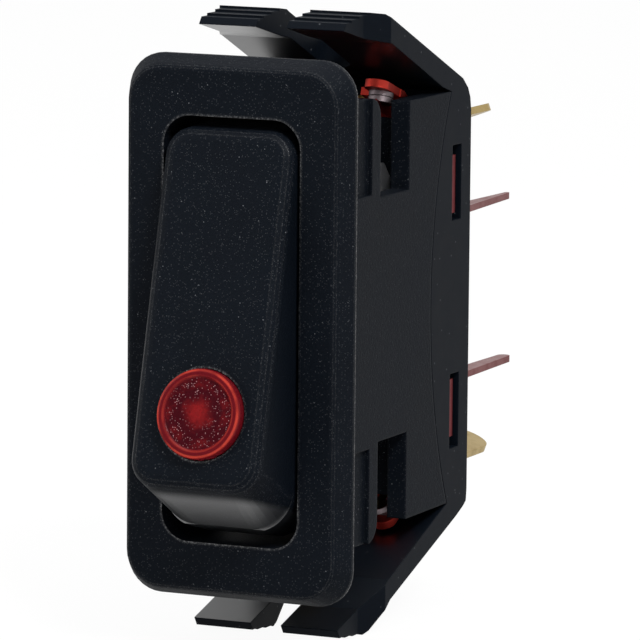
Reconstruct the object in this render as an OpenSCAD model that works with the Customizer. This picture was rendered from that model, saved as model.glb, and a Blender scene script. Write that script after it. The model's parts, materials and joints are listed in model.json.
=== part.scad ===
// Snap-in panel rocker switch with a lighted lens, drawn at rest with the rocker's upper end pressed in.
// Origin: centre of the bezel's back face. +X right, +Y into the panel, +Z up. Millimetres.

/* [Bezel] */
// Width of the bezel
bezel_w = 14.5; // [14:0.1:16]
// Height of the bezel
bezel_h = 32; // [31:0.1:34]
// Thickness of the bezel
bezel_t = 1.7; // [1.4:0.1:2.4]
// Draft on each side of the bezel, over its thickness
bezel_draft = 0.45; // [0.2:0.05:0.6]
// Corner radius of the bezel
bezel_corner = 2.2; // [1.8:0.1:2.6]
// Width of the opening for the rocker
opening_w = 8.74; // [8.5:0.02:9]
// Height of the opening for the rocker
opening_h = 25.1; // [25:0.05:25.5]
// Corner radius of the opening
opening_corner = 1.7; // [1.4:0.1:1.9]

/* [Body] */
// Width of the body behind the panel
body_w = 11.16; // [11:0.02:11.4]
// Height of the neck that passes through the panel
neck_h = 26.5; // [26.3:0.1:27]
// Depth of the neck
neck_d = 7.05; // [6.9:0.05:7.3]
// Height of the body behind the neck
block_h = 25.2; // [25:0.1:25.4]
// Depth of the body behind the bezel
body_d = 20.6; // [20.4:0.1:21.5]
// Distance of the side notches from the middle
notch_z = 7.3; // [7:0.1:7.6]
// Depth at which the side notches end
notch_end = 11.25; // [11:0.05:11.4]
// Depth of the rear base moulding at mid-height
base_depth = 5.85; // [5.6:0.05:6]
// Radius of the bowed parting line
parting_r = 30; // [28:1:34]

/* [Snap arms] */
// Thickness of a snap arm
arm_t = 1.5; // [1.4:0.05:1.6]
// Width of the stepped prongs over both
prong_w = 9.36; // [9:0.04:9.6]
// Width of the slit between two prongs
slit_w = 2; // [1.6:0.1:2.4]
// Number of steps near a prong's tip
step_count = 3; // [2:1:4]

/* [Rocker] */
// Width of the rocker
rocker_w = 8.3; // [8.1:0.02:8.34]
// Distance of the pivot behind the panel's face
pivot_y = 2.5; // [2.4:0.05:2.6]
// Distance from the pivot to the rocker's flat face
face_r = 7.3; // [7.1:0.1:7.5]
// Radius of the rocker's ends about the pivot
end_r = 12.35; // [12.2:0.05:12.4]
// Tilt of the rocker on either side of its middle
tilt = 14; // [13:0.5:14.5]
// Distance of the lens from the rocker's middle
lens_z = 6.15; // [6:0.05:6.5]
// Sideways distance of the lens from the rocker's middle
lens_x = 0.28; // [0:0.02:0.3]
// Diameter of the lens
lens_d = 5.3; // [5:0.1:5.4]
// Height of the lens above the rocker's face
lens_proud = 0.65; // [0.5:0.05:0.9]

/* [Contacts] */
// Sideways distance of the pole from the middle
pole_x = 2.4; // [2.3:0.05:2.5]
// Swing of the contact blade on either side of its middle
blade_swing = 3.5; // [3:0.25:3.75]
// Width of the contact blade
blade_w = 2.6; // [2.2:0.1:2.8]
// Thickness of the contact blade
blade_t = 0.5; // [0.4:0.05:0.55]
// Sideways distance of the contacts from the middle
contact_x = 2.9; // [2.8:0.02:2.92]
// Diameter of the contacts
contact_d = 1.5; // [1.3:0.1:1.5]

/* [Terminals] */
// Reach of the copper tags behind the body
copper_reach = 10.7; // [8:0.1:12]
// Reach of the brass tags behind the body
brass_reach = 7.5; // [5:0.1:8]
// Twist of the brass tags about their length
brass_twist = 20; // [0:1:25]
// Width of a copper tag
copper_tag_w = 1.2; // [1:0.1:1.4]
// Width of a brass tag
brass_tag_w = 2.8; // [2.4:0.1:2.8]
// Height of the load tag above the middle
load_tag_z = 4.7; // [4.6:0.05:5]
// Height of the common tag below the middle
common_tag_z = 5.6; // [5.5:0.05:5.8]
// Distance of the brass tags above and below the middle
brass_tag_z = 10.25; // [10.1:0.05:10.3]

/* [Hidden] */
$fn = 48;
eps = 0.01;
seat_gap = 0.05;
skin = 0.3;

bezel_edge = 0.4;
side_wall = (body_w - opening_w) / 2;
neck_round = 1.3;
pad_step = 0.3;
pad_depth = 5.8;
base_wall = 1.08;
base_floor = 1.75;
base_inner_y = body_d - base_floor;
base_inner_w = body_w - 2 * base_wall;
base_inner_h = 24.2;
parting_y = body_d - base_depth;
parting_centre = parting_y + parting_r;

// Snap arms in side view, y into the panel and z away from the middle. The lower arm has set a little
// nearer the body than the upper one, and its prongs a little further out
step_pitch = 1.1;
slit_end = 12.5;
flare = [6.4, 8.4];
root_y = body_d - 3;
// Each arm: back corner and root, shoulder, tip, tip height, step height, inner bends
upper_arm = [
    [[body_d, 11.2], [body_d - 0.15, 12], [body_d - 0.5, 12.6], [body_d - 1.3, 13.25]],
    [[8.4, 17.83], [7.95, 18.05]],
    [3.6, 17.35], 0.42, 0.14,
    [[6.8, 16.6], [8.6, 17.75 - arm_t], [16.2, 14.5 - arm_t]]
];
lower_arm = [
    [[body_d, 12.2], [body_d - 0.1, 12.9], [body_d - 0.5, 13.15], [body_d - 1.55, 13.6]],
    [[9.14, 17.15], [8.35, 17.7], [7.2, 18.75]],
    [3.45, 18.15], 0.5, 0.1,
    [[6.4, 17.35], [8.8, 17.4 - arm_t], [16.2, 14.6 - arm_t]]
];

window_y = base_inner_y - 1.05;
window_d = 1.35;
window_low = 4.7;
window_high = 9.3;

// Rocker, in its own frame: pivot at the origin, flat face towards -Y
face_h = 21.2;
rocker_edge = 0.8;
rocker_corner = 1.7;
skirt_corner = 2.4;
skirt_front = -1.9;
skirt_back = 1.3;
rocker_wall = 0.8;
rocker_inner_w = rocker_w - 2 * rocker_wall;
trunnion_r = 0.97;
trunnion_hole_r = 1.02;
trunnion_reach = 5.15;
trunnion_hole_reach = 5.25;
ear_r = 2;
boss_h = 3;
boss_front = -face_r + 0.9;
boss_back = 5;
plunger_r = 0.9;
plunger_bore_r = 0.97;
plunger_start = 0.1;
plunger_reach = 9.2;
bore_end = -4.6;
pad_x = 2.75;
pad_z = 9.1;
ledge = [1.2, 1.2, 1.6];
pad_rest = [pivot_y + skirt_back * cos(tilt) + pad_z * sin(tilt), pad_z * cos(tilt) - skirt_back * sin(tilt)];
barrier = [0.4, 3.8];
barrier_at = [2.6, notch_end + 0.95, notch_z + 0.3];

lens_flange_d = 5.9;
lens_flange_t = 0.5;
lens_tube_d = 4.3;
lens_tube_end = -3;
lens_rim = 0.45;
bulb_r = 1.45;
bulb_wall = 0.25;
bulb_front = -6.9;
bulb_back = -0.6;
lead_r = 0.22;
lead_y = 0.35;
lead_gap = 0.42;
lead_front = bulb_front + 2.3;
lead_turn = pad_z - 1.7;
lead_side = -1.6;
resistor_r = 0.85;
resistor_l = 4.2;
resistor_at = [-1.6, lead_side, 1.5];

// Contact blade, in its own frame: rocking edge at the origin, upright when the rocker is level
dish_r = 6.5;
blade_y = pivot_y + plunger_reach + plunger_r + 0.03 + blade_t;
dish_front = -blade_t;
dish_half = 2.7;
crest_z = 3.5;
arm_end = [2.7, 11.45];
bend_r = 0.7;
tab_tilt = 19;
tab_l = 3.0;
tab_w = 1.5;
contact_t = 0.3;
contact_gap = 0.03;
fixed_from = blade_t / 2 + contact_t + contact_gap;
fixed_to = fixed_from + contact_t + 0.05;

// Fixed metalwork
strip_t = 0.8;
lug_t = 0.6;
tag_t = 0.4;
brass_t = 0.45;
tag_x = 3.6;
brass_x = 2.8;
wing_w = 10.7;
foot_w = 8.6;
wing_low = 5.1;
wing_high = 8.65;
lug_l = 2.5;
lug_back = blade_y + 0.17;
leg_x = [-2.4, 0.6];
leg_top = 11.5;
lug_right = pole_x + 0.8;
post_w = 2.6;
leaf_t = 0.25;
leaf_x = 4.05;

function spin(p, a) = [p[0] * cos(a) - p[1] * sin(a), p[0] * sin(a) + p[1] * cos(a)];
function left_of(p) = [-p[1], p[0]] / norm(p);
function path_dir(pts, i) = pts[min(i + 1, len(pts) - 1)] - pts[max(i - 1, 0)];
function ribbon(pts, t) = concat(
    [for (i = [0 : len(pts) - 1]) pts[i] + left_of(path_dir(pts, i)) * t / 2],
    [for (i = [len(pts) - 1 : -1 : 0]) pts[i] - left_of(path_dir(pts, i)) * t / 2]
);

// A side-view outline (y, z) made into a plate of width w across X, centred on x
module across(w, x = 0) {
    translate([x - w / 2, 0, 0])
        rotate([90, 0, 90])
            linear_extrude(w)
                children();
}

// A front-view outline (x, z) made solid from depth y0 to y1
module inward(y0, y1) {
    translate([0, y1, 0])
        rotate([90, 0, 0])
            linear_extrude(y1 - y0)
                children();
}

// A bar or disc round an axis along Y, from depth y0 to y1
module rod_y(r, y0, y1) {
    translate([0, y0, 0])
        rotate([-90, 0, 0])
            cylinder(r = r, h = y1 - y0);
}

module round_rect(w, h, r) {
    square([w - 2 * r, h], center = true);
    square([w, h - 2 * r], center = true);
    for (sx = [-1, 1], sz = [-1, 1])
        translate([sx * (w / 2 - r), sz * (h / 2 - r)])
            circle(r);
}

// Four soft corners of a moulded front, to be joined by a hull
module soft_corners(w, h, corner, edge, y) {
    for (sx = [-1, 1], sz = [-1, 1])
        translate([sx * (w / 2 - corner), y + edge, sz * (h / 2 - corner)])
            rotate([90, 0, 0])
                rotate_extrude($fn = 32)
                    translate([corner - edge, 0])
                        circle(edge, $fn = 16);
}

// Both mirror images, above and below the middle
module mirrored_z() {
    children();
    mirror([0, 0, 1])
        children();
}

// ---------------------------------------------------------------- housing

module bezel_blank() {
    hull() {
        soft_corners(bezel_w - 2 * bezel_draft, bezel_h - 2 * bezel_draft, bezel_corner, bezel_edge, -bezel_t);
        inward(-skin, 0)
            round_rect(bezel_w, bezel_h, bezel_corner, $fn = 32);
    }
}

module neck_outline() {
    translate([0, -neck_h / 2])
        square([neck_d - neck_round, neck_h]);
    translate([0, -neck_h / 2 + neck_round])
        square([neck_d, neck_h - 2 * neck_round]);
    for (sz = [-1, 1])
        translate([neck_d - neck_round, sz * (neck_h / 2 - neck_round)])
            circle(neck_round);
}

module parting_disc(r) {
    translate([parting_centre, 0])
        circle(r, $fn = 180);
}

module housing_side() {
    difference() {
        union() {
            neck_outline();
            translate([neck_d - eps, -notch_z])
                square([body_d - neck_d, 2 * notch_z]);
            translate([notch_end, -block_h / 2])
                square([body_d - notch_end, block_h]);
        }
        parting_disc(parting_r + seat_gap);
    }
}

// Walls inside the notches, in front of the contact blade
module barriers() {
    color([0.10, 0.11, 0.13])
        mirrored_z()
            translate(barrier_at)
                cube([opening_w / 2 - barrier_at[0] + eps, barrier[0], barrier[1]]);
}

module housing() {
    barriers();
    color([0.10, 0.11, 0.13])
        difference() {
            union() {
                bezel_blank();
                across(body_w)
                    housing_side();
            }
            inward(-bezel_t - 1, body_d)
                round_rect(opening_w, opening_h, opening_corner);
            translate([-opening_w / 2, neck_d, -block_h / 2 - 1])
                cube([opening_w, body_d, block_h + 2]);
            for (side = [-1, 1])
                translate([side * (body_w / 2 - pad_step / 2 + eps), 0, 0])
                    mirrored_z()
                        translate([-pad_step / 2, eps, notch_z + 0.25])
                            cube([pad_step, pad_depth, neck_h]);
            translate([-trunnion_hole_reach, pivot_y, 0])
                rotate([0, 90, 0])
                    cylinder(r = trunnion_hole_r, h = 2 * trunnion_hole_reach);
        }
}

// -------------------------------------------------------------- rear base

module arm_outline(arm) {
    tip = arm[2];
    front = tip + [0.35, arm[3]];
    polygon(concat(
        [[body_d, 0]],
        arm[0],
        arm[1],
        [for (i = [step_count : -1 : 1]) each [
            [tip[0] + i * step_pitch, front[1] + i * arm[4]],
            [tip[0] + i * step_pitch, front[1] + (i - 1) * arm[4]]
        ]],
        [front, tip],
        arm[5],
        [[root_y, block_h / 2], [root_y, 0]]
    ));
}

// Cuts that leave two slimmer prongs at the free end, flaring to the full width
module prong_trim() {
    low = block_h / 2 + 1;
    for (side = [-1, 1])
        scale([side, 1, 1])
            translate([0, 0, low])
                linear_extrude(neck_h)
                    polygon([
                        [prong_w / 2, 0], [prong_w / 2, flare[0]], [body_w / 2 + eps, flare[1]],
                        [body_w, flare[1]], [body_w, 0]
                    ]);
    translate([-slit_w / 2, 0, block_h / 2])
        cube([slit_w, slit_end, neck_h]);
    translate([0, slit_end, block_h / 2])
        cylinder(d = slit_w, h = neck_h);
}

module snap_arm(arm) {
    difference() {
        across(body_w)
            arm_outline(arm);
        prong_trim();
    }
}

module base_outline() {
    half = block_h / 2;
    corner = upper_arm[0][0];
    intersection() {
        parting_disc(parting_r);
        polygon([
            [parting_y - 1, half], [body_d - 0.6, half], corner,
            [body_d, -corner[1]], [body_d - 0.6, -half], [parting_y - 1, -half]
        ]);
    }
}

module tag_slots() {
    slot_gap = 0.1;
    for (tag = [
        [tag_x, load_tag_z, copper_tag_w, tag_t, 0],
        [tag_x, -common_tag_z, copper_tag_w, tag_t, 0],
        [brass_x, brass_tag_z, brass_tag_w, brass_t, -brass_twist],
        [brass_x, -brass_tag_z, brass_tag_w, brass_t, brass_twist]
    ])
        translate([tag[0], body_d - base_floor / 2, tag[1]])
            rotate([0, tag[4], 0])
                cube([tag[2] + slot_gap, base_floor + 1, tag[3] + slot_gap], center = true);
}

module rear_base() {
    color([0.09, 0.10, 0.12])
        difference() {
            union() {
                across(body_w)
                    intersection() {
                        base_outline();
                        translate([0, -body_d])
                            square(2 * body_d);
                    }
                snap_arm(upper_arm);
                mirror([0, 0, 1])
                    snap_arm(lower_arm);
            }
            translate([-base_inner_w / 2, parting_y - 2, -base_inner_h / 2])
                cube([base_inner_w, base_inner_y - parting_y + 2, base_inner_h]);
            for (side = [-1, 1])
                mirrored_z()
                    translate([side * body_w / 2 - base_wall - eps, window_y, window_low])
                        cube([2 * base_wall + 2 * eps, window_d, window_high - window_low]);
            tag_slots();
        }
    base_tongues();
}

// Tongues that reach forward inside the housing's side walls and locate the base
module base_tongues() {
    tongue_t = 0.45;
    tongue_h = 3.2;
    tongue_front = parting_y - 2.4;
    root_back = parting_y + 2.2;
    outer = opening_w / 2 - seat_gap;
    color([0.09, 0.10, 0.12])
        for (side = [-1, 1])
            scale([side, 1, 1])
                translate([outer - tongue_t, tongue_front, -tongue_h / 2]) {
                    cube([tongue_t, root_back - tongue_front, tongue_h]);
                    translate([0, parting_y + 0.3 - tongue_front, 0])
                        cube([base_inner_w / 2 - outer + tongue_t + eps, root_back - parting_y - 0.3, tongue_h]);
                }
}

// ----------------------------------------------------------------- rocker

// Everything that rides on the rocker is drawn in the rocker's frame and set at rest by this
module on_rocker() {
    translate([0, pivot_y, 0])
        rotate([-tilt, 0, 0])
            children();
}

module rocker_blank() {
    skirt_h = 2 * sqrt(end_r * end_r - skirt_front * skirt_front);
    hull() {
        soft_corners(rocker_w, face_h, rocker_corner, rocker_edge, -face_r);
        inward(skirt_front - skin, skirt_front)
            round_rect(rocker_w, skirt_h, skirt_corner, $fn = 32);
    }
    intersection() {
        inward(skirt_front - eps, skirt_back)
            round_rect(rocker_w, 2 * end_r, skirt_corner);
        translate([-rocker_w / 2, 0, 0])
            rotate([0, 90, 0])
                cylinder(r = end_r, h = rocker_w, $fn = 180);
    }
}

module rocker_hollow() {
    roof = -face_r + 0.9;
    across(rocker_inner_w)
        polygon([
            [roof, -face_h / 2 + 1.2], [roof, face_h / 2 - 1.2],
            [skirt_front, end_r - 1.1], [skirt_back + 1, end_r - 1.1],
            [skirt_back + 1, 1.1 - end_r], [skirt_front, 1.1 - end_r]
        ]);
}

module rocker_inside() {
    boss_right = rocker_inner_w / 2 + eps;
    boss_left = pole_x - plunger_bore_r - 0.45;
    translate([boss_left, boss_front - eps, -boss_h / 2])
        cube([boss_right - boss_left, boss_back - boss_front, boss_h]);
    for (side = [-1, 1]) {
        translate([side * (rocker_w - rocker_wall) / 2, 0, 0])
            rotate([0, 90, 0])
                cylinder(r = ear_r, h = rocker_wall, center = true);
        translate([side * (rocker_inner_w / 2 - ledge[0] / 2 + eps), -ledge[1] / 2 + skirt_back - 0.3, pad_z])
            cube(ledge, center = true);
    }
}

module rocker_part() {
    difference() {
        union() {
            difference() {
                rocker_blank();
                rocker_hollow();
            }
            rocker_inside();
            for (side = [-1, 1])
                translate([side * (rocker_inner_w + trunnion_reach * 2) / 4, 0, 0])
                    rotate([0, 90, 0])
                        cylinder(r = trunnion_r, h = trunnion_reach - rocker_inner_w / 2, center = true);
        }
        translate([lens_x, 0, -lens_z])
            rod_y(lens_d / 2 + 0.05, -face_r - 1, -face_r + 1.5);
        translate([pole_x, 0, 0])
            rod_y(plunger_bore_r, bore_end, boss_back + 1);
        for (side = [-1, 1])
            translate([side * pad_x, 0, pad_z])
                rod_y(lead_r + 0.04, -1, skirt_back + 1);
    }
}

module rocker() {
    color([0.11, 0.12, 0.14])
        on_rocker()
            rocker_part();
}

// Lens: a cap with a raised rim round a shallow disc, a flange behind the face and a tube for the lamp
module lens() {
    front = -face_r - lens_proud;
    flange = -face_r + 0.9;
    r = lens_d / 2;
    color([0.62, 0.10, 0.13, 0.85])
        on_rocker()
            translate([lens_x, 0, -lens_z])
                rotate([90, 0, 0])
                    rotate_extrude($fn = 64)
                        polygon([
                            [0, -front - 0.12], [r - lens_rim - 0.12, -front - 0.12], [r - lens_rim, -front],
                            [r - 0.25, -front], [r - 0.07, -front - 0.07], [r, -front - 0.25],
                            [r, -flange], [lens_flange_d / 2, -flange],
                            [lens_flange_d / 2, -flange - lens_flange_t], [lens_tube_d / 2, -flange - lens_flange_t],
                            [lens_tube_d / 2, -lens_tube_end], [bulb_r + 0.1, -lens_tube_end],
                            [bulb_r + 0.1, -bulb_front + 0.1], [0, -bulb_front + 0.1]
                        ]);
}

module lamp_bulb() {
    color([0.95, 0.75, 0.55, 0.6])
        on_rocker()
            translate([lens_x, 0, -lens_z])
                difference() {
                    union() {
                        rod_y(bulb_r, bulb_front + bulb_r, bulb_back);
                        translate([0, bulb_front + bulb_r, 0])
                            sphere(bulb_r);
                    }
                    rod_y(bulb_r - bulb_wall, bulb_front + bulb_r, bulb_back - 0.8);
                    translate([0, bulb_front + bulb_r, 0])
                        sphere(bulb_r - bulb_wall);
                    for (side = [-1, 1])
                        translate([side * lead_gap, 0, 0])
                            rod_y(lead_r + 0.03, bulb_back - 2, bulb_back + 1);
                }
}

// A round wire through a list of points, with slightly larger balls at the bends; each run is turned
// about its own axis so that no two seams meet
module wire(points, r) {
    ball = 1.1;
    seam_turn = 37;
    for (i = [0 : len(points) - 2]) {
        run = points[i + 1] - points[i];
        turn = acos(run[2] / norm(run));
        translate(points[i])
            rotate([0, turn, atan2(run[1], run[0])])
                rotate([0, 0, seam_turn * i])
                    cylinder(r = r, h = norm(run), $fn = 24);
    }
    for (i = [1 : len(points) - 2])
        translate(points[i])
            rotate([seam_turn * i, seam_turn, 0])
                sphere(r * ball, $fn = 24);
}

module lead_pad(side) {
    translate([side * pad_x, 0, pad_z])
        rod_y(0.55, skirt_back - 0.3 + seat_gap, skirt_back);
}

module lamp_lead_live() {
    x = lens_x + lead_gap;
    color([0.75, 0.75, 0.74])
        on_rocker() {
            wire([
                [x, lead_front, -lens_z], [x, lead_y, -lens_z], [x, lead_y, lead_turn], [pad_x, lead_side, lead_turn],
                [pad_x, lead_side, pad_z], [pad_x, skirt_back - 0.1, pad_z]
            ], lead_r);
            lead_pad(1);
        }
}

module lamp_lead_neutral() {
    x = lens_x - lead_gap;
    half = [0, 0, resistor_l / 2];
    color([0.75, 0.75, 0.74])
        on_rocker() {
            wire([
                [x, lead_front, -lens_z], [x, lead_y, -lens_z], [x, lead_y, -3.6],
                resistor_at - half - [0, 0, 1.8], resistor_at - half
            ], lead_r);
            wire([
                resistor_at + half, [resistor_at[0], lead_side, lead_turn - 1], [-pad_x, lead_side, lead_turn],
                [-pad_x, lead_side, pad_z], [-pad_x, skirt_back - 0.1, pad_z]
            ], lead_r);
            lead_pad(-1);
        }
}

// Resistor in side view: soft-shouldered ends, each a little thicker than the middle
module lamp_resistor() {
    half = resistor_l / 2;
    waist = resistor_r - 0.15;
    color([0.70, 0.62, 0.45])
        on_rocker()
            translate(resistor_at)
                rotate_extrude()
                    polygon([
                        [0, -half], [resistor_r - 0.25, -half], [resistor_r, 0.3 - half],
                        [resistor_r, 0.9 - half], [waist, 1.1 - half],
                        [waist, half - 1.1], [resistor_r, half - 0.9],
                        [resistor_r, half - 0.3], [resistor_r - 0.25, half], [0, half]
                    ]);
}

module plunger() {
    color([0.88, 0.87, 0.82])
        on_rocker()
            translate([pole_x, 0, 0]) {
                rod_y(plunger_r, plunger_start, plunger_reach);
                translate([0, plunger_reach, 0])
                    sphere(plunger_r);
            }
}

// Coil spring in the boss, behind the plunger: rings of the wire swept along a helix
module plunger_spring() {
    turns = 6;
    per_turn = 16;
    sides = 8;
    wire_d = 0.26;
    coil_r = 0.72;
    y0 = bore_end + wire_d / 2 + 0.02;
    y1 = plunger_start - wire_d / 2 - 0.02;
    steps = turns * per_turn;
    points = [
        for (i = [0 : steps], k = [0 : sides - 1])
            let (a = 360 * i / per_turn, b = 360 * k / sides, r = coil_r + wire_d / 2 * cos(b))
                [r * cos(a), y0 + (y1 - y0) * i / steps + wire_d / 2 * sin(b), r * sin(a)]
    ];
    faces = concat(
        [[for (k = [0 : sides - 1]) k]],
        [
            for (i = [0 : steps - 1], k = [0 : sides - 1]) [
                i * sides + k, (i + 1) * sides + k,
                (i + 1) * sides + (k + 1) % sides, i * sides + (k + 1) % sides
            ]
        ],
        [[for (k = [sides - 1 : -1 : 0]) steps * sides + k]]
    );
    color([0.72, 0.72, 0.74])
        on_rocker()
            translate([pole_x, 0, 0])
                polyhedron(points, faces);
}

// ---------------------------------------------------------- contact blade

// Everything on the blade is drawn in the blade's frame and set at rest by this
module on_blade() {
    translate([0, blade_y, 0])
        rotate([blade_swing, 0, 0])
            children();
}

function tab_dir() = spin([-1, 0], -tab_tilt - blade_swing);
function bend_centre() = arm_end + [-bend_r, 0.35];
function tab_start() = bend_centre() + bend_r * spin([0, 1], -tab_tilt - blade_swing);
function tab_middle() = tab_start() + tab_dir() * tab_l / 2;

// Middle line of the upper half: dish, crest, sloping arm, round bend and the start of the tab
function blade_half() =
    let (
        dish_centre = dish_front - dish_r,
        mid_r = dish_r + blade_t / 2,
        crest = [dish_centre + mid_r * cos(asin(dish_half / mid_r)), dish_half]
    )
    concat(
        [for (z = [0 : 0.45 : dish_half]) [dish_centre + mid_r * cos(asin(z / mid_r)), z]],
        [crest + [-0.1, 0.45], crest + [0.05, crest_z - dish_half + 0.2], arm_end],
        [for (a = [0 : 18 : 90 - tab_tilt]) bend_centre() + bend_r * [cos(a), sin(a)]],
        [tab_start(), tab_start() + tab_dir() * blade_t]
    );

// Something on the upper tab's middle line at a point, its own -Y side towards the fixed contact
module at_tab(point) {
    below = -left_of(-tab_dir());
    translate([contact_x, point[0], point[1]])
        rotate([atan2(below[1], below[0]), 0, 0])
            children();
}

// Tab with a round end, narrower than the blade
module blade_tab() {
    end = tab_start() + tab_dir() * (tab_l - tab_w / 2);
    across(tab_w, contact_x)
        polygon(ribbon([tab_start(), end], blade_t));
    at_tab(end)
        rod_y(tab_w / 2, -blade_t / 2, blade_t / 2);
}

module contact_blade() {
    upper = blade_half();
    lower = [for (i = [len(upper) - 1 : -1 : 1]) [upper[i][0], -upper[i][1]]];
    color([0.72, 0.36, 0.26])
        on_blade() {
            across(blade_w, pole_x)
                polygon(ribbon(concat(lower, upper), blade_t));
            mirrored_z()
                blade_tab();
        }
}

module moving_contact_upper() {
    color([0.86, 0.84, 0.82])
        on_blade()
            at_tab(tab_middle())
                rod_y(contact_d / 2, blade_t / 2, blade_t / 2 + contact_t);
}

module moving_contact_lower() {
    color([0.86, 0.84, 0.82])
        on_blade()
            mirror([0, 0, 1])
                at_tab(tab_middle())
                    rod_y(contact_d / 2, blade_t / 2, blade_t / 2 + contact_t);
}

// --------------------------------------------------------- fixed contacts

// Fixed contacts sit where the upper moving contact rests, and its mirror image below
module fixed_contact_upper() {
    color([0.86, 0.84, 0.82])
        on_blade()
            at_tab(tab_middle())
                rod_y(contact_d / 2, fixed_from, fixed_to);
}

module fixed_contact_lower() {
    color([0.86, 0.84, 0.82])
        mirror([0, 0, 1])
            on_blade()
                at_tab(tab_middle())
                    rod_y(contact_d / 2, fixed_from, fixed_to);
}

// Lug under a fixed contact, its side leg along the housing and its leg down to the floor, for the upper side
module contact_lug() {
    middle = tab_middle();
    below = -left_of(-tab_dir());
    centre = middle + below * (fixed_to + lug_t / 2);
    on_blade()
        translate([leg_x[0], centre[0], centre[1]])
            rotate([atan2(below[1], below[0]) - 90, 0, 0])
                translate([0, -lug_l / 2, -lug_t / 2])
                    cube([lug_right - leg_x[0], lug_l, lug_t]);
    translate([leg_x[0], lug_back, leg_top - lug_t])
        cube([leg_x[1] - leg_x[0], base_inner_y - seat_gap - lug_back, lug_t]);
}

// Foot plate with wings in the base's side windows, upper side
module winged_foot() {
    foot_y = base_inner_y - seat_gap - strip_t;
    translate([-wing_w / 2, foot_y, wing_low])
        cube([wing_w, strip_t, wing_high - wing_low]);
}

// Solder tag that tapers evenly to a round end of radius end_r
module copper_tag(z, reach, end_r) {
    y0 = base_inner_y - seat_gap - strip_t;
    y1 = body_d + reach - end_r;
    taper = body_d + 3;
    w = copper_tag_w / 2;
    translate([tag_x, 0, z - tag_t / 2])
        linear_extrude(tag_t) {
            polygon([[-w, y0], [w, y0], [w, taper], [end_r, y1], [-end_r, y1], [-w, taper]]);
            translate([0, y1])
                circle(end_r, $fn = 32);
        }
}

module load_terminal() {
    foot_y = base_inner_y - seat_gap - strip_t;
    color([0.70, 0.34, 0.26]) {
        winged_foot();
        translate([-foot_w / 2, foot_y, load_tag_z - tag_t / 2])
            cube([foot_w, strip_t, wing_low - load_tag_z + tag_t / 2 + eps]);
        translate([leg_x[0], foot_y, wing_high - eps])
            cube([leg_x[1] - leg_x[0], strip_t, leg_top - wing_high + eps]);
        contact_lug();
        copper_tag(load_tag_z, copper_reach, 0.15);
    }
}

module common_terminal() {
    foot_y = base_inner_y - seat_gap - strip_t;
    edge_r = 0.3;
    color([0.70, 0.34, 0.26]) {
        mirror([0, 0, 1])
            winged_foot();
        translate([-foot_w / 2, foot_y, -wing_low - eps])
            cube([foot_w, strip_t, wing_low]);
        translate([pole_x - post_w / 2, blade_y + contact_gap + edge_r, -edge_r])
            cube([post_w, foot_y + strip_t - blade_y - contact_gap - edge_r, 2 * edge_r]);
        translate([pole_x - post_w / 2, blade_y + contact_gap + edge_r, 0])
            rotate([0, 90, 0])
                cylinder(r = edge_r, h = post_w);
        copper_tag(-common_tag_z, copper_reach, 0.4);
    }
}

// Round-ended brass tag with its foot against the floor of the base, at height z
module brass_tag(z, reach) {
    y0 = base_inner_y - seat_gap - brass_t;
    r = brass_tag_w / 2;
    translate([brass_x, 0, z])
        rotate([0, -sign(z) * brass_twist, 0])
            translate([0, 0, -brass_t / 2])
                linear_extrude(brass_t) {
                    translate([-r, y0])
                        square([2 * r, body_d + reach - r - y0]);
                    translate([0, body_d + reach - r])
                        circle(r);
                }
}

module neutral_terminal() {
    foot_y = base_inner_y - seat_gap - brass_t;
    foot_left = -base_inner_w / 2 + 0.15;
    color([0.78, 0.66, 0.36]) {
        brass_tag(brass_tag_z, brass_reach);
        translate([0.9, foot_y, brass_tag_z - brass_t / 2])
            cube([brass_x + brass_tag_w / 2 - 0.9, brass_t, 1.7]);
        translate([foot_left, foot_y, leg_top + 0.1])
            cube([0.9 - foot_left + eps, brass_t, 0.4]);
        translate([foot_left, foot_y, brass_tag_z - brass_t / 2])
            cube([-foot_left + leg_x[0] - 0.2, brass_t, 1.7]);
    }
}

module rest_terminal() {
    foot_y = base_inner_y - seat_gap - strip_t;
    color([0.78, 0.66, 0.36]) {
        brass_tag(-brass_tag_z, brass_reach);
        mirror([0, 0, 1]) {
            translate([leg_x[0], foot_y, brass_tag_z - brass_t / 2])
                cube([brass_x + brass_tag_w / 2 - leg_x[0], strip_t, leg_top - brass_tag_z + brass_t / 2]);
            contact_lug();
        }
    }
}

// Leaf spring that feeds the lamp when the rocker's upper end is in: a stem from the foot plate at height z,
// a wide shoulder, a step across and a hooked end that meets the rocker's lead pad
module feed_leaf(side, foot_y, z, bend_y) {
    stem_w = 0.5;
    stem_right = leaf_x + stem_w / 2;
    hook_w = 1;
    hook_left = pad_x + 0.05 - hook_w / 2;
    step_y = [pad_rest[0] + 4.44, pad_rest[0] + 3.64];
    step_z = pad_rest[1] + 0.29;
    step = [[step_y[0], step_z], [step_y[1], step_z]];
    hook = [
        pad_rest + [4, 0.29], pad_rest + [1.64, 0.79], pad_rest + [0.79, 0.84],
        pad_rest + [0.44, 0.64], pad_rest + [0.04, -0.51]
    ];
    color([0.80, 0.81, 0.82])
        scale([side, 1, 1]) {
            across(stem_w, leaf_x)
                polygon(ribbon(concat([[foot_y, z], [bend_y, z]], step), leaf_t));
            across(leaf_t, stem_right - leaf_t / 2)
                polygon([
                    [step_y[0] + 1.5, notch_z - 0.3], [step_y[0] + 1.1, notch_z + 0.5],
                    step[0], [step_y[1] - 0.6, step_z], [step_y[1] - 0.6, notch_z - 0.3]
                ]);
            across(stem_right - hook_left, (stem_right + hook_left) / 2)
                polygon(ribbon(step, leaf_t));
            across(hook_w, hook_left + hook_w / 2)
                polygon(ribbon(hook, leaf_t));
        }
}

module feed_leaf_live() {
    feed_leaf(1, base_inner_y - seat_gap - strip_t, notch_z - 0.1, pad_rest[0] + 6);
}

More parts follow.
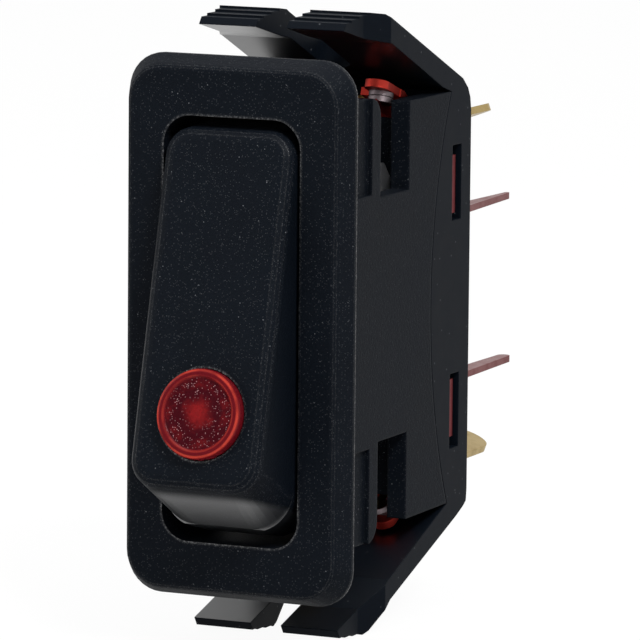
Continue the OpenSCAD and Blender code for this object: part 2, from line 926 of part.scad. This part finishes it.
module feed_leaf_neutral() {
    feed_leaf(-1, base_inner_y - seat_gap - brass_t, brass_tag_z + 0.35, pad_rest[0] + 7);
}

housing();
rear_base();
rocker();
lens();
lamp_bulb();
lamp_lead_live();
lamp_lead_neutral();
lamp_resistor();
plunger();
plunger_spring();
contact_blade();
moving_contact_upper();
moving_contact_lower();
fixed_contact_upper();
fixed_contact_lower();
load_terminal();
common_terminal();
neutral_terminal();
rest_terminal();
feed_leaf_live();
feed_leaf_neutral();
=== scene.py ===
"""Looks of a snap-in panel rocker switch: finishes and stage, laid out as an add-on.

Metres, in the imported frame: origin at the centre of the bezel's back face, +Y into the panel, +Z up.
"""

import json
import math

import bmesh
import bpy
from bpy.props import FloatProperty, FloatVectorProperty, IntProperty
from mathutils import Matrix, Vector


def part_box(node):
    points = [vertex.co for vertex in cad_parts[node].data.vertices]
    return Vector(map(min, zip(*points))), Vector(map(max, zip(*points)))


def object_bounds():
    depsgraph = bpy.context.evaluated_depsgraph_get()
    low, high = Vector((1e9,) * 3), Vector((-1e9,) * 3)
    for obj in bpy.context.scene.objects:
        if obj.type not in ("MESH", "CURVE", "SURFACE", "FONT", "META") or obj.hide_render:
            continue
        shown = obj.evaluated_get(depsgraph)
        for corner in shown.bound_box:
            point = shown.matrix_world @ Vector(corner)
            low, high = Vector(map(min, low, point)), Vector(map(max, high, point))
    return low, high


bl_info = {
    "name": "Panel rocker switch",
    "version": (1, 0, 0),
    "blender": (4, 5, 0),
    "location": "3D View > Sidebar > Rocker switch",
    "description": "Finishes, fine pieces and stage for a snap-in panel rocker switch",
    "category": "Object",
}

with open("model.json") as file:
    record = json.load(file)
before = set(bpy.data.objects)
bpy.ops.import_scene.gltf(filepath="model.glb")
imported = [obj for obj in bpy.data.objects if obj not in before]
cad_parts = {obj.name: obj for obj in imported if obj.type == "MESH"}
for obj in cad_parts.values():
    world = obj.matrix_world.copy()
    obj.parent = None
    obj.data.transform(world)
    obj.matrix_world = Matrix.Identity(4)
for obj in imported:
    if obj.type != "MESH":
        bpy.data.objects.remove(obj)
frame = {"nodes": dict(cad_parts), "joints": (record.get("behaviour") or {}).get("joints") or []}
CAD_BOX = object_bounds()
NODES = frame["nodes"]
JOINT = {joint["name"]: joint for joint in frame["joints"]}

MM = 0.001
PIVOT_Y = JOINT["rocker_tilt"]["pos_m"][1]
TILT = math.radians(JOINT["rocker_tilt"]["range_deg"][1] / 2)
LENS_Z = 6.15 * MM
LENS_X = 0.28 * MM
LENS_DISC_R = 2.08 * MM
FACE_HALF = 10.6 * MM
BODY_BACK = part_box("rear_base")[1][1]
ARM_FOOT = 13.5 * MM

BLACK_MOULDINGS = ("housing", "rear_base")
COPPER_PARTS = ("load_terminal", "common_terminal")
BRASS_PARTS = ("neutral_terminal", "rest_terminal")
CONTACTS = (
    "fixed_contact_upper",
    "fixed_contact_lower",
    "moving_contact_upper",
    "moving_contact_lower",
)
TINNED_PARTS = ("lamp_lead_live", "lamp_lead_neutral")
LEAF_SPRINGS = ("feed_leaf_live", "feed_leaf_neutral")


# ------------------------------------------------------------ shader maths


class Signal:
    """An output socket that takes part in Python arithmetic."""

    def __init__(self, bench, socket):
        self.bench = bench
        self.socket = socket

    def math(self, operation, *others):
        return self.bench.add(
            "ShaderNodeMath", {"operation": operation}, dict(enumerate((self, *others)))
        )

    def __add__(self, other):
        return self.math("ADD", other)

    def __sub__(self, other):
        return self.math("SUBTRACT", other)

    def __mul__(self, other):
        return self.math("MULTIPLY", other)

    def __truediv__(self, other):
        return self.math("DIVIDE", other)

    def __pow__(self, other):
        return self.math("POWER", other)

    def __rsub__(self, other):
        return self.bench.add("ShaderNodeMath", {"operation": "SUBTRACT"}, {0: other, 1: self})

    def __rtruediv__(self, other):
        return self.bench.add("ShaderNodeMath", {"operation": "DIVIDE"}, {0: other, 1: self})

    __radd__ = __add__
    __rmul__ = __mul__

    def ramp(self, low, high, smooth=True):
        """0 below low, 1 above high."""
        settings = {"interpolation_type": "SMOOTHSTEP" if smooth else "LINEAR"}
        return self.bench.add(
            "ShaderNodeMapRange", settings, {0: self, "From Min": low, "From Max": high}
        )


class Bench:
    """One material and the means to add nodes to it."""

    def __init__(self, name):
        self.material = bpy.data.materials.new(name)
        self.material.use_nodes = True
        self.tree = self.material.node_tree
        self.tree.nodes.clear()

    @classmethod
    def on(cls, tree):
        """The same means, on another node tree."""
        bench = cls.__new__(cls)
        bench.tree = tree
        tree.nodes.clear()
        return bench

    def add(self, kind, settings=None, inputs=None, out=0):
        node = self.tree.nodes.new(kind)
        for key, value in (settings or {}).items():
            if key == "stops":
                self._set_stops(node.color_ramp, value)
            else:
                setattr(node, key, value)
        for key, value in (inputs or {}).items():
            if isinstance(value, Signal):
                self.tree.links.new(value.socket, node.inputs[key])
            else:
                node.inputs[key].default_value = value
        return Signal(self, node.outputs[out]) if node.outputs else node

    @staticmethod
    def _set_stops(ramp, stops):
        while len(ramp.elements) < len(stops):
            ramp.elements.new(0.5)
        for element, (place, colour) in zip(ramp.elements, stops):
            element.position = place
            element.color = (*colour, 1)

    def place(self):
        """Position on the part at rest, in metres, as a vector."""
        return self.add("ShaderNodeTexCoord", out="Object")

    def split(self, vector):
        node = self.add("ShaderNodeSeparateXYZ", None, {0: vector}).socket.node
        return [Signal(self, socket) for socket in node.outputs]

    def noise(self, size, detail=2.0, rough=0.5, vector=None, out="Fac"):
        """Noise whose largest features are about size metres across."""
        return self.add(
            "ShaderNodeTexNoise",
            None,
            {
                "Vector": vector or self.place(),
                "Scale": 1 / size,
                "Detail": detail,
                "Roughness": rough,
            },
            out,
        )

    def cells(self, size, feature="F1", out="Distance", vector=None):
        return self.add(
            "ShaderNodeTexVoronoi",
            {"feature": feature},
            {"Vector": vector or self.place(), "Scale": 1 / size},
            out,
        )

    def painted_glint_flecks(self, size, share):
        """Sparse round specks for painted glints, in that share of cells of the given size."""
        cell = self.cells(size)
        chance = self.split(Signal(self, cell.socket.node.outputs["Color"]))[0]
        return chance.ramp(1 - share, 1.01 - share) * (1 - cell.ramp(0.16, 0.36))

    def edges(self, radius):
        """1 along outer and inner edges, 0 on flats."""
        flat = self.add("ShaderNodeNewGeometry", out="Normal")
        turned = self.add(
            "ShaderNodeVectorMath", {"operation": "DOT_PRODUCT"}, {0: self.rounded(radius), 1: flat}, 1
        )
        return (1 - turned).ramp(0.004, 0.09)

    def blend(self, factor, low, high):
        return self.add(
            "ShaderNodeMix",
            {"data_type": "RGBA"},
            {0: factor, 6: _colour(low), 7: _colour(high)},
            2,
        )

    def rounded(self, radius):
        """Normals softened over edges, as a mould leaves them."""
        return self.add("ShaderNodeBevel", {"samples": 6}, {"Radius": radius})

    def bump(self, height, depth, normal=None):
        inputs = {"Height": height, "Distance": depth, "Strength": 1.0}
        if normal is not None:
            inputs["Normal"] = normal
        return self.add("ShaderNodeBump", None, inputs)

    def finish(self, **inputs):
        """Ends the material in a Principled shader with these inputs."""
        named = {key.replace("_", " "): value for key, value in inputs.items()}
        for key, value in named.items():
            if not isinstance(value, Signal):
                named[key] = _colour(value) if hasattr(value, "__len__") else value
        shader = self.add("ShaderNodeBsdfPrincipled", None, named)
        self.add("ShaderNodeOutputMaterial", None, {"Surface": shader})
        return self.material


def _colour(value):
    return value if isinstance(value, Signal) or len(value) == 4 else (*value, 1)


def dress(nodes, material):
    for name in nodes:
        mesh = NODES[name].data
        mesh.materials.clear()
        mesh.materials.append(material)


def seen_rays(bench):
    """1 for rays that show a surface to the camera, straight or by reflection, 0 for light on the object."""
    rays = bench.add("ShaderNodeLightPath").socket.node.outputs
    straight, mirrored, through = (
        Signal(bench, rays[name]) for name in ("Is Camera Ray", "Is Glossy Ray", "Is Transmission Ray")
    )
    return (straight + mirrored + through).math("MINIMUM", 1)


def rocker_axes(bench):
    """Position in the rocker's own frame: across, outward from the pivot, along its length."""
    x, y, z = bench.split(bench.place())
    depth = y - PIVOT_Y
    outward = z * math.sin(TILT) - depth * math.cos(TILT)
    along = depth * math.sin(TILT) + z * math.cos(TILT)
    return x, outward, along


# --------------------------------------------------------------- materials


def rocker_ends(bench):
    """1 on the rocker's two curved ends, which fingers polish."""
    along = rocker_axes(bench)[2]
    return along.math("ABSOLUTE").ramp(FACE_HALF, FACE_HALF + 0.5 * MM)


def arm_insides(bench):
    """1 on the faces of the snap arms that look towards the middle, smooth from the mould's core."""
    z = bench.split(bench.place())[2]
    facing = bench.split(bench.add("ShaderNodeNewGeometry", out="Normal"))[2]
    inward = (facing * z.math("SIGN") * -1).ramp(0.3, 0.8)
    return inward * z.math("ABSOLUTE").ramp(ARM_FOOT, ARM_FOOT + MM)


def spark_eroded(name, settings, roughness, polished=None):
    """Black moulding with the fine grain of an eroded mould, its glints painted into the colour as pale specks,
    polished a little at its edges.
    """
    bench = Bench(name)
    grain = bench.noise(settings.grain, 3, 0.65)
    pits = bench.cells(settings.grain * 1.5).ramp(0.05, 0.75)
    patches = bench.noise(4 * MM, 3, 0.6)
    in_reach = 1 - bench.split(bench.place())[1].ramp(0, MM)
    worn = bench.edges(0.3 * MM) * in_reach
    tint = bench.blend(patches, [c * 0.8 for c in settings.black], [c * 1.25 for c in settings.black])
    # Painted glints: bright and faint pale specks mixed into the black colour stand in for glints of light on
    # the grain.
    bright = bench.painted_glint_flecks(settings.grain, 0.3 * settings.painted_glint_share)
    faint = bench.painted_glint_flecks(settings.grain * 0.8, 6 * settings.painted_glint_share)
    tint = bench.blend(faint * 0.3 + bright, tint, settings.painted_glint)
    height = grain * 0.7 + pits * 0.3
    normal = bench.bump(height, settings.grain_depth, bench.rounded(0.2 * MM))
    polish = worn * (0.15 + grain.ramp(0.45, 0.65) * 0.85)
    if polished:
        polish = polish.math("MAXIMUM", polished(bench) * settings.polish)
    return bench.finish(
        Base_Color=tint,
        Roughness=roughness + patches * 0.06 + grain * 0.08 - worn * 0.16,
        Specular_IOR_Level=settings.sheen,
        Coat_Weight=polish,
        Coat_Roughness=0.35,
        Coat_IOR=2.1,
        Normal=normal,
    )


def satin_moulding(name, settings):
    """Black moulding with faint flow marks, a smoother skin and sparse pale specks of painted glint."""
    bench = Bench(name)
    flow = bench.noise(1.4 * MM, 4, 0.6)
    skin = bench.noise(0.12 * MM, 2, 0.5)
    tint = bench.blend(flow, [c * 0.9 for c in settings.black], [c * 1.3 for c in settings.black])
    # Painted glints: sparse pale specks in the colour stand in for glints of light on the skin.
    tint = bench.blend(bench.painted_glint_flecks(0.2 * MM, 0.3 * settings.painted_glint_share) * 0.5, tint, settings.painted_glint)
    normal = bench.bump(flow * 0.5 + skin * 0.2, 0.006 * MM, bench.rounded(0.12 * MM))
    return bench.finish(
        Base_Color=tint,
        Roughness=0.42 + flow * 0.12,
        Specular_IOR_Level=settings.skin_sheen,
        Coat_Weight=arm_insides(bench),
        Coat_Roughness=0.3,
        Normal=normal,
    )


def lens_red(settings):
    """Red cap: a dark pebbled disc painted brightest in its middle, as light shining through it, with pale
    painted glints, inside a smooth rim whose edges carry painted highlight lines.
    """
    bench = Bench("red_lens")
    x, outward, along = rocker_axes(bench)
    aside = x - LENS_X
    below = along + LENS_Z
    radius = (aside * aside + below * below) ** 0.5
    disc = 1 - radius.ramp(LENS_DISC_R - 0.05 * MM, LENS_DISC_R + 0.05 * MM)
    pebbles = bench.cells(0.24 * MM, "SMOOTH_F1")
    cloud = bench.noise(0.9 * MM, 3, 0.65).ramp(0.4, 0.68)
    # Painted light: the disc is painted lighter towards its middle and in a cloudy ring, as if light came
    # through the red cap.
    middle = 1 - radius.ramp(0.2 * MM, 1.1 * MM)
    ring = (radius - 1.3 * MM).math("ABSOLUTE").ramp(0.05 * MM, 0.3 * MM)
    painted_glow = middle * (0.55 + pebbles * 0.5) + cloud * ring * 0.4
    inner = bench.blend(painted_glow, settings.dark, settings.bright)
    # Painted glints: pale specks on the pebbled disc stand in for highlights of light.
    painted_disc_glints = bench.painted_glint_flecks(0.1 * MM, 0.4) * radius.ramp(0.5 * MM, 1.4 * MM) * bench.noise(0.8 * MM)
    inner = bench.blend(painted_disc_glints, inner, settings.painted_disc_glint)
    # Painted highlights: bright lines along the rim's outer and inner rings, stronger in noisy patches.
    painted_highlight_strength = bench.noise(1.6 * MM, 2).ramp(0.35, 0.6)
    outer_line = 1 - (radius - 2.52 * MM).math("ABSOLUTE").ramp(0.02 * MM, 0.11 * MM)
    inner_line = 1 - (radius - LENS_DISC_R - 0.12 * MM).math("ABSOLUTE").ramp(0.02 * MM, 0.1 * MM)
    lines = outer_line.math("MAXIMUM", inner_line * 0.4) * (0.12 + painted_highlight_strength * 0.75)
    rim = bench.blend(lines, settings.rim, settings.edge)
    return bench.finish(
        Base_Color=bench.blend(disc, rim, inner),
        Roughness=0.16 + disc * 0.24,
        Specular_IOR_Level=0.03,
        Coat_Weight=0.04,
        Normal=bench.bump(pebbles * disc, 0.04 * MM),
    )


def worn_metal(name, colour, dull, roughness, outside=None):
    """Rolled strip with long brush lines and dull patches, and a second colour outside the body, so that the
    part inside carries painted shade.
    """
    bench = Bench(name)
    if outside:
        # Painted shade: inside the body the copper keeps a redder, darker colour for the shade in the housing;
        # beyond the body's back it takes the colour given for outside.
        behind = bench.split(bench.place())[1].ramp(BODY_BACK, BODY_BACK + MM)
        colour = bench.blend(behind, colour, outside)
    stretched = bench.add(
        "ShaderNodeMapping", None, {"Vector": bench.place(), "Scale": (1, 0.04, 1)}
    )
    lines = bench.noise(0.05 * MM, 2, 0.5, stretched)
    tarnish = bench.noise(1.1 * MM, 4, 0.6).ramp(0.38, 0.7)
    normal = bench.bump(lines, 0.004 * MM, bench.rounded(0.05 * MM))
    return bench.finish(
        Base_Color=bench.blend(tarnish * 0.4, colour, dull),
        Metallic=1.0,
        Roughness=roughness + tarnish * 0.08 + lines * 0.06,
        Normal=normal,
    )


def nylon():
    bench = Bench("white_nylon")
    flow = bench.noise(0.8 * MM, 3)
    tint = bench.blend(flow, (0.66, 0.63, 0.56), (0.80, 0.78, 0.71))
    return bench.finish(
        Base_Color=tint,
        Roughness=0.36 + flow * 0.1,
        Subsurface_Weight=0.15,
        Subsurface_Scale=0.4 * MM,
        Normal=bench.bump(flow, 0.01 * MM),
    )


def resistor_lacquer():
    """Tan lacquer with four colour bands round the body."""
    bench = Bench("resistor_body")
    x, outward, along = rocker_axes(bench)
    tint = bench.blend(bench.noise(0.5 * MM), (0.44, 0.31, 0.15), (0.56, 0.42, 0.22))
    bands = ((0.2, (0.20, 0.02, 0.02)), (0.9, (0.20, 0.02, 0.25)), (1.6, (0.35, 0.25, 0.01)))
    for place, colour in bands:
        far = (along - place * MM).math("ABSOLUTE")
        tint = bench.blend(1 - far.ramp(0.14 * MM, 0.18 * MM), tint, colour)
    return bench.finish(Base_Color=tint, Roughness=0.3, Coat_Weight=0.3)


def bulb_glass():
    bench = Bench("lamp_glass")
    haze = bench.noise(0.9 * MM, 3)
    return bench.finish(
        Base_Color=bench.blend(haze, (0.95, 0.80, 0.70), (1, 0.9, 0.82)),
        Roughness=0.06 + haze * 0.08,
        IOR=1.5,
        Transmission_Weight=0.85,
    )


# -------------------------------------------------------------- properties


class MouldingSettings(bpy.types.PropertyGroup):
    """Black plastic of the housing, base and rocker."""

    black: FloatVectorProperty(
        name="Plastic", description="Colour of the black plastic", subtype="COLOR",
        size=3, default=(0.0022, 0.0034, 0.0056), min=0, max=1,
    )
    # Colour of the painted glints: pale specks that stand in for light glinting on the grain.
    painted_glint: FloatVectorProperty(
        name="Flecks", description="Colour of the pale flecks in the grain", subtype="COLOR",
        size=3, default=(0.11, 0.115, 0.125), min=0, max=1,
    )
    painted_glint_share: FloatProperty(
        name="Share of flecks", description="Part of the grain's cells that hold a bright fleck",
        default=0.05, min=0, max=0.3,
    )
    grain: FloatProperty(
        name="Grain", description="Size of the mould's grain", unit="LENGTH",
        default=0.12 * MM, min=0.02 * MM,
    )
    grain_depth: FloatProperty(
        name="Grain depth", description="Depth of the mould's grain", unit="LENGTH",
        default=0.02 * MM, min=0,
    )
    sheen: FloatProperty(
        name="Sheen", description="Strength of the grained plastic's reflection",
        default=0.045, min=0, max=1,
    )
    polish: FloatProperty(
        name="Polish", description="How far fingers have polished the rocker's ends",
        default=1.0, min=0, max=1,
    )
    skin_sheen: FloatProperty(
        name="Base sheen", description="Strength of the smoother base's reflection",
        default=0.03, min=0, max=1,
    )


class LensSettings(bpy.types.PropertyGroup):
    """Red lens in the rocker's lower end."""

    # Colour of the painted light in the middle of the disc.
    bright: FloatVectorProperty(
        name="Middle", description="Colour in the middle of the disc", subtype="COLOR",
        size=3, default=(0.15, 0.006, 0.007), min=0, max=1,
    )
    dark: FloatVectorProperty(
        name="Disc edge", description="Colour at the edge of the disc", subtype="COLOR",
        size=3, default=(0.032, 0.0006, 0.003), min=0, max=1,
    )
    rim: FloatVectorProperty(
        name="Rim", description="Colour of the smooth rim", subtype="COLOR",
        size=3, default=(0.085, 0.003, 0.006), min=0, max=1,
    )
    # Colour of the painted highlight lines on the rim.
    edge: FloatVectorProperty(
        name="Lit edges", description="Colour of the lines where the rim gathers light", subtype="COLOR",
        size=3, default=(0.36, 0.035, 0.022), min=0, max=1,
    )
    # Colour of the painted glints on the disc.
    painted_disc_glint: FloatVectorProperty(
        name="Sparkle", description="Colour of the disc's pale flecks", subtype="COLOR",
        size=3, default=(0.55, 0.30, 0.32), min=0, max=1,
    )


class MetalSettings(bpy.types.PropertyGroup):
    """Copper, brass and silver of the inner parts and tags."""

    # Copper inside the body, painted redder and darker with the housing's shade.
    copper: FloatVectorProperty(
        name="Copper", description="Colour of the copper strip", subtype="COLOR",
        size=3, default=(0.17, 0.014, 0.018), min=0, max=1,
    )
    # Copper of the tags outside the body: the same metal without the painted shade.
    tags: FloatVectorProperty(
        name="Tags", description="Colour of the dulled copper of the solder tags", subtype="COLOR",
        size=3, default=(0.16, 0.034, 0.032), min=0, max=1,
    )
    # Painted light: the blade's copper is painted far brighter than the other copper inside the body, standing
    # in for light falling on it.
    blade: FloatVectorProperty(
        name="Blade", description="Colour of the springy copper of the contact blade", subtype="COLOR",
        size=3, default=(0.52, 0.045, 0.032), min=0, max=1,
    )
    silver: FloatVectorProperty(
        name="Contacts", description="Colour of the dulled silver contacts", subtype="COLOR",
        size=3, default=(0.20, 0.165, 0.175), min=0, max=1,
    )
    brass: FloatVectorProperty(
        name="Brass", description="Colour of the brass strip", subtype="COLOR",
        size=3, default=(0.38, 0.27, 0.085), min=0, max=1,
    )


class StageSettings(bpy.types.PropertyGroup):
    """Camera, floor and lights."""

    lens: FloatProperty(
        name="Lens", description="Focal length of the camera in millimetres",
        default=337.5, min=10,
    )
    floor: FloatVectorProperty(
        name="Floor", description="Colour of the floor", subtype="COLOR",
        size=3, default=(0.90, 0.90, 0.90), min=0, max=1,
    )
    ambient: FloatProperty(
        name="Ambient", description="Strength of the even light from all round",
        default=0.30, min=0,
    )


class SwitchSettings(bpy.types.PropertyGroup):
    """All settings of the switch."""

    moulding: bpy.props.PointerProperty(type=MouldingSettings)
    lens: bpy.props.PointerProperty(type=LensSettings)
    metal: bpy.props.PointerProperty(type=MetalSettings)
    stage: bpy.props.PointerProperty(type=StageSettings)


# --------------------------------------------------------------- operators


class SWITCH_OT_mouldings(bpy.types.Operator):
    """Finish the housing and the rear base"""

    bl_idname = "rocker_switch.mouldings"
    bl_label = "Housing and base"

    def execute(self, context):
        moulding = context.scene.rocker_switch.moulding
        dress(("housing",), spark_eroded("black_moulding", moulding, 0.50))
        dress(("rear_base",), satin_moulding("black_base", moulding))
        return {"FINISHED"}


class SWITCH_OT_rocker(bpy.types.Operator):
    """Finish the rocker and its plunger"""

    bl_idname = "rocker_switch.rocker"
    bl_label = "Rocker"

    def execute(self, context):
        moulding = context.scene.rocker_switch.moulding
        dress(("rocker",), spark_eroded("black_rocker", moulding, 0.42, rocker_ends))
        dress(("plunger",), nylon())
        return {"FINISHED"}


class SWITCH_OT_lamp(bpy.types.Operator):
    """Finish the lens, the lamp and its resistor and leads"""

    bl_idname = "rocker_switch.lamp"
    bl_label = "Lens and lamp"

    def execute(self, context):
        dress(("lens",), lens_red(context.scene.rocker_switch.lens))
        dress(("lamp_bulb",), bulb_glass())
        dress(("lamp_resistor",), resistor_lacquer())
        dress(TINNED_PARTS, worn_metal("tinned_wire", (0.62, 0.62, 0.60), (0.44, 0.43, 0.41), 0.28))
        return {"FINISHED"}


class SWITCH_OT_metalwork(bpy.types.Operator):
    """Finish the terminals, contacts, blade and springs"""

    bl_idname = "rocker_switch.metalwork"
    bl_label = "Metalwork"

    def execute(self, context):
        metal = context.scene.rocker_switch.metal
        copper = tuple(metal.copper)
        brass = tuple(metal.brass)
        tags = tuple(metal.tags)
        # The copper parts carry painted shade inside the body and the tags' colour outside it.
        dress(COPPER_PARTS, worn_metal("copper", copper, [c * 0.6 for c in copper], 0.34, tags))
        dress(BRASS_PARTS, worn_metal("brass", brass, [c * 0.6 for c in brass], 0.32))
        # Painted light: the blade gets a brighter copy of the copper.
        blade = tuple(metal.blade)
        silver = tuple(metal.silver)
        dress(("contact_blade",), worn_metal("blade_copper_painted_brighter", blade, [c * 0.6 for c in blade], 0.4))
        dress(CONTACTS, worn_metal("silver_contact", silver, [c * 0.6 for c in silver], 0.38))
        dress(
            ("plunger_spring", *LEAF_SPRINGS),
            worn_metal("spring_steel", (0.56, 0.56, 0.57), (0.40, 0.39, 0.38), 0.25),
        )
        return {"FINISHED"}


class SWITCH_OT_stage(bpy.types.Operator):
    """Set the camera, the floor, the white surround and the lights"""

    bl_idname = "rocker_switch.stage"
    bl_label = "Stage"

    def execute(self, context):
        stage = context.scene.rocker_switch.stage
        self.aim_camera(context, stage)
        self.lay_floor(context, stage)
        self.hang_lights(context)
        self.surround(context, stage)
        context.scene.view_settings.view_transform = "Standard"
        return {"FINISHED"}

    @staticmethod
    def aim_camera(context, stage):
        camera = bpy.data.objects.new("camera", bpy.data.cameras.new("camera"))
        context.scene.collection.objects.link(camera)
        camera.data.lens = stage.lens
        camera.data.sensor_width = 36
        camera.data.clip_start = 0.01
        camera.data.clip_end = 20
        target = Vector((4.106, 1.865, 0.56)) * MM
        turn, lift, roll = (math.radians(a) for a in (24.43, 8.17, 0.51))
        away = Vector((math.sin(turn) * math.cos(lift), -math.cos(turn) * math.cos(lift), math.sin(lift)))
        place = target + away * 350.35 * MM
        right = Vector((math.cos(turn), math.sin(turn), 0))
        up = away.cross(right)
        tilted_right = right * math.cos(roll) + up * math.sin(roll)
        tilted_up = up * math.cos(roll) - right * math.sin(roll)
        turned = Matrix((tilted_right, tilted_up, away)).transposed().to_4x4()
        camera.matrix_world = Matrix.Translation(place) @ turned
        context.scene.camera = camera

    @staticmethod
    def lay_floor(context, stage):
        low = CAD_BOX[0][2]
        floor = bpy.data.objects.new("floor", bpy.data.meshes.new("floor"))
        mesh = bmesh.new()
        bmesh.ops.create_grid(mesh, x_segments=1, y_segments=1, size=4)
        mesh.to_mesh(floor.data)
        mesh.free()
        floor.location.z = low - 0.02 * MM
        context.scene.collection.objects.link(floor)
        bench = Bench("pale_floor")
        paper = bench.noise(6 * MM, 3)
        diffuse = bench.add(
            "ShaderNodeBsdfPrincipled",
            None,
            {
                "Base Color": bench.blend(paper, [c * 0.99 for c in stage.floor], tuple(stage.floor)),
                "Roughness": 0.8,
            },
        )
        white = bench.add("ShaderNodeEmission", None, {"Color": (1, 1, 1, 1), "Strength": 1.0})
        seen = seen_rays(bench)
        both = bench.add("ShaderNodeMixShader", None, {0: seen * 0.95, 1: diffuse, 2: white})
        bench.add("ShaderNodeOutputMaterial", None, {"Surface": both})
        floor.data.materials.append(bench.material)

    @staticmethod
    def hang_lights(context):
        lamps = (
            ("key_light", (0.34, -0.24, 0.44), 0.16, 3.6),
            ("top_light", (0.0, -0.05, 0.55), 0.5, 2.4),
            ("left_light", (-0.5, -0.35, 0.25), 0.35, 0.8),
        )
        for name, place, size, power in lamps:
            light = bpy.data.lights.new(name, "AREA")
            light.shape = "SQUARE"
            light.size = size
            light.energy = power
            lamp = bpy.data.objects.new(name, light)
            context.scene.collection.objects.link(lamp)
            lamp.location = place
            lamp.rotation_euler = Vector(place).to_track_quat("Z", "Y").to_euler()

    @staticmethod
    def surround(context, stage):
        world = bpy.data.worlds.new("surround")
        context.scene.world = world
        world.use_nodes = True
        bench = Bench.on(world.node_tree)
        even = bench.add("ShaderNodeBackground", None, {"Color": (1, 1, 1, 1), "Strength": stage.ambient})
        white = bench.add("ShaderNodeBackground", None, {"Color": (1, 1, 1, 1), "Strength": 1.0})
        pick = bench.add("ShaderNodeMixShader", None, {0: seen_rays(bench), 1: even, 2: white})
        bench.add("ShaderNodeOutputWorld", None, {"Surface": pick})


STEPS = (
    SWITCH_OT_mouldings,
    SWITCH_OT_rocker,
    SWITCH_OT_lamp,
    SWITCH_OT_metalwork,
    SWITCH_OT_stage,
)


class SWITCH_PT_panel(bpy.types.Panel):
    """Steps and settings of the rocker switch"""

    bl_idname = "SWITCH_PT_panel"
    bl_label = "Rocker switch"
    bl_space_type = "VIEW_3D"
    bl_region_type = "UI"
    bl_category = "Rocker switch"

    def draw(self, context):
        for step in STEPS:
            self.layout.operator(step.bl_idname)
        for group in ("moulding", "lens", "metal", "stage"):
            box = self.layout.box()
            settings = getattr(context.scene.rocker_switch, group)
            for name in settings.__annotations__:
                box.prop(settings, name)


CLASSES = (
    MouldingSettings,
    LensSettings,
    MetalSettings,
    StageSettings,
    SwitchSettings,
    *STEPS,
    SWITCH_PT_panel,
)


def register():
    for cls in CLASSES:
        bpy.utils.register_class(cls)
    bpy.types.Scene.rocker_switch = bpy.props.PointerProperty(type=SwitchSettings)


def unregister():
    del bpy.types.Scene.rocker_switch
    for cls in reversed(CLASSES):
        bpy.utils.unregister_class(cls)


def main():
    register()
    for step in STEPS:
        group, name = step.bl_idname.split(".")
        getattr(getattr(bpy.ops, group), name)()


if __name__ == "__main__":
    main()
